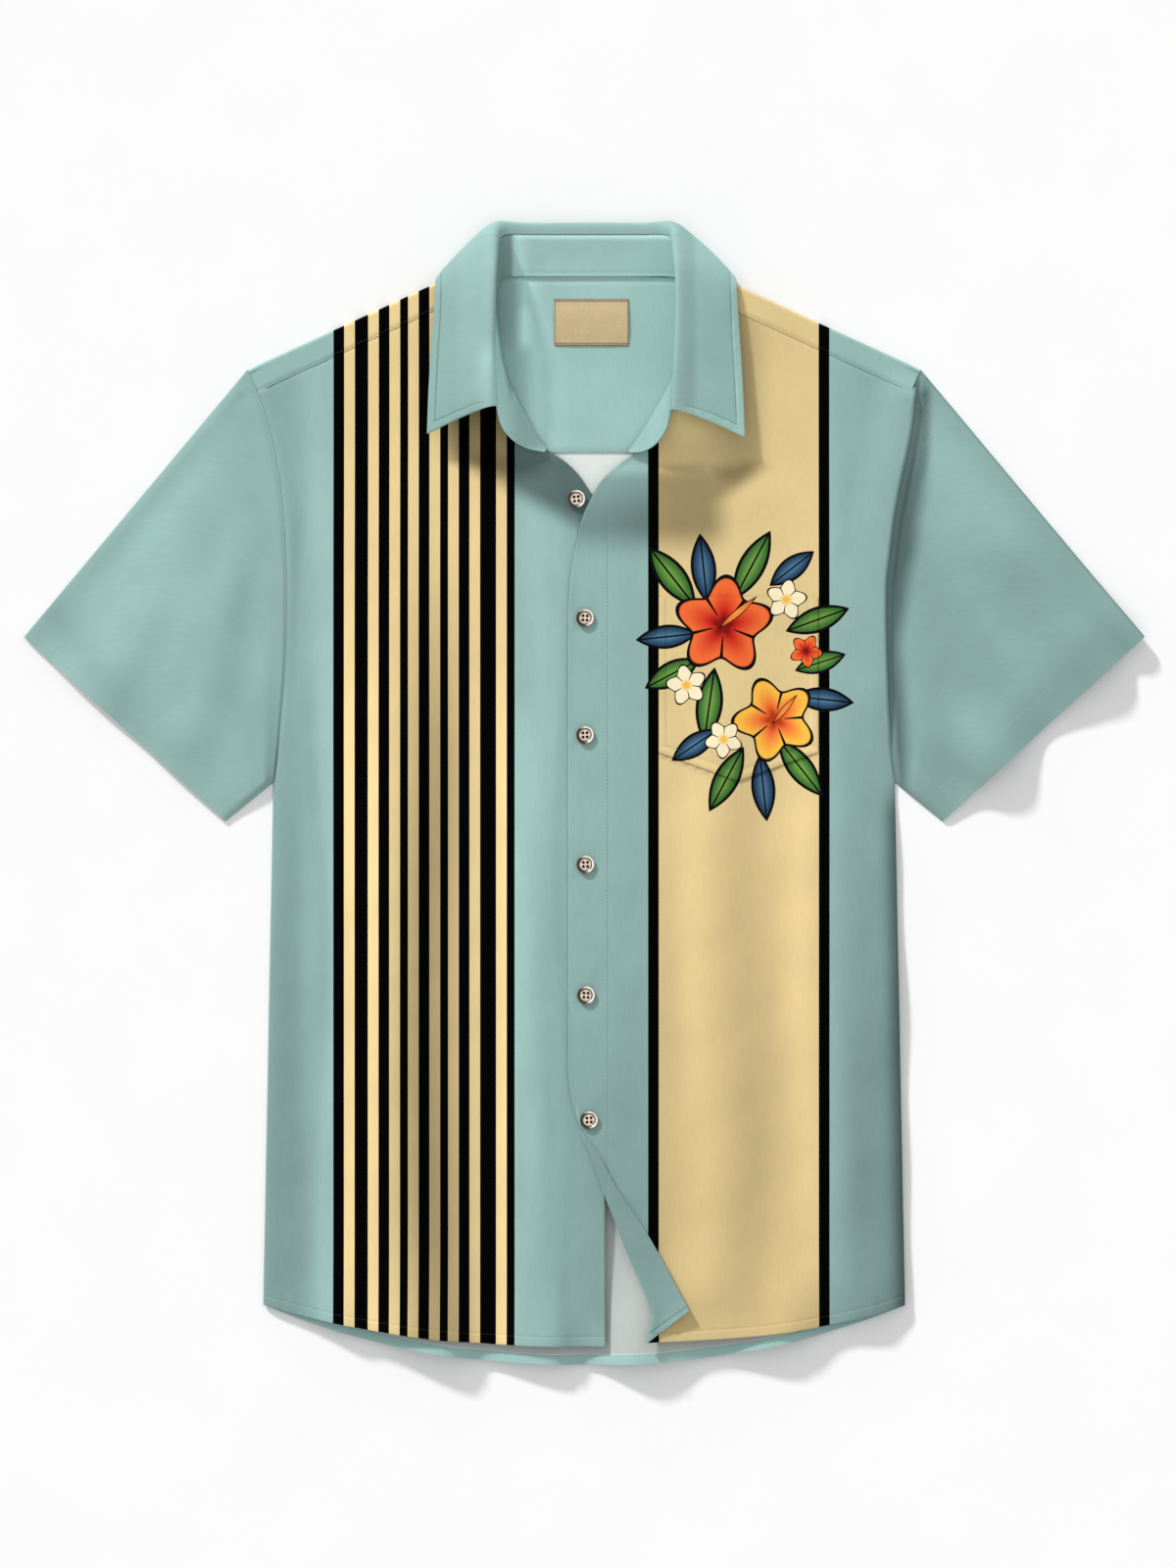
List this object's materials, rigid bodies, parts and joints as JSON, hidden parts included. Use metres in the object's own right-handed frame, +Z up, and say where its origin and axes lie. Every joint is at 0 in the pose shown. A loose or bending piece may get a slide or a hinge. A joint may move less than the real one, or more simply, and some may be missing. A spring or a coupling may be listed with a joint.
{
  "type": "hawaiian shirt",
  "caption": "Short-sleeved button-front shirt with a pointed stand collar, chest pocket, curved hem and one turned-back front corner, laid flat on its back.",
  "frame": {"origin": "on the surface that the shirt lies on, at the middle of its outline", "axes": "+Z up from that surface, +Y towards the collar, +X towards the wearer's left sleeve"},
  "size_m": [0.7888, 0.805, 0.0334],
  "materials": {
    "shirt_cloth": "smooth",
    "plain_cloth": "smooth",
    "pocket_cloth": "smooth",
    "label_weave": "woven",
    "button_resin": "polished"
  },
  "bodies": {
    "root": {"back_panel": "shirt_cloth", "back_yoke": "shirt_cloth", "yoke_facing": "plain_cloth", "front_right": "shirt_cloth", "front_left": "shirt_cloth", "sleeve_right": "plain_cloth", "sleeve_left": "plain_cloth", "collar_stand": "plain_cloth", "collar_fall": "plain_cloth", "chest_pocket": "pocket_cloth", "neck_label": "label_weave", "button_1": "button_resin", "button_2": "button_resin", "button_3": "button_resin", "button_4": "button_resin", "button_5": "button_resin", "button_6": "button_resin"}
  },
  "joints": []
}
